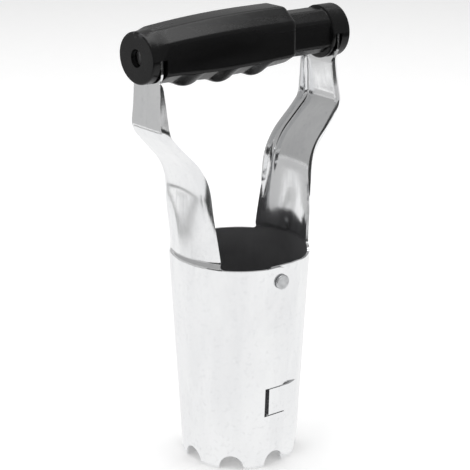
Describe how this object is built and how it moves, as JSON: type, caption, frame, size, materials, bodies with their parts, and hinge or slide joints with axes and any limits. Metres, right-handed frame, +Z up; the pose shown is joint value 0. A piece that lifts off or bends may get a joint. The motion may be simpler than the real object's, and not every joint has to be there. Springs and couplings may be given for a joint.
{
  "type": "bulb planter",
  "caption": "Hand bulb planter: a toothed, tapered steel tube in two riveted halves whose arms rise to a telescoping moulded grip; squeezing the grip opens the tube's lower end.",
  "frame": {"origin": "centre of the tube's lower end, at the level of the tooth tips", "axes": "+Z up along the tube towards the handle; +X along the handle towards its sliding end; -Y is the side with the left half's lap outside and the catch tab"},
  "size_m": [0.1178, 0.0702, 0.2265],
  "materials": {
    "bright_steel": "bright zinc plate, nearly mirror-like, a little cloudy",
    "rivet_steel": "plated, satin",
    "black_plastic": "moulded black plastic, satin, fine spark-eroded texture",
    "spring_steel": "drawn wire and plated screws"
  },
  "bodies": {
    "left_side": {"left_half": "bright_steel", "front_rivet": "rivet_steel", "rear_rivet": "rivet_steel"},
    "right_side": {"right_half": "bright_steel"},
    "grip": {"grip_sleeve": "black_plastic", "left_handle_screw": "spring_steel", "return_spring": "spring_steel"},
    "plunger": {"grip_plunger": "black_plastic", "right_handle_screw": "spring_steel"}
  },
  "joints": [
    {"name": "squeeze_hinge", "type": "hinge", "parent": "left_side", "child": "right_side", "pos_m": [0, 0, 0.0993], "axis": [0, -1, 0], "range_deg": [0, 10], "stiffness_Nm_per_rad": 13.4, "springref_deg": -7.1},
    {"name": "grip_hinge", "type": "hinge", "parent": "left_side", "child": "grip", "pos_m": [-0.0532, 0, 0.2103], "axis": [0, -1, 0], "range_deg": [0, 5.05]},
    {"name": "plunger_slide", "type": "slide", "parent": "grip", "child": "plunger", "axis": [1, 0, 0], "range_m": [-0.0199, 0], "deforming": ["return_spring"]}
  ],
  "couplings": [
    {"joint": "grip_hinge", "follows": "squeeze_hinge", "ratio": 0.49},
    {"joint": "plunger_slide", "follows": "squeeze_hinge", "m_per_rad": -0.1131}
  ]
}
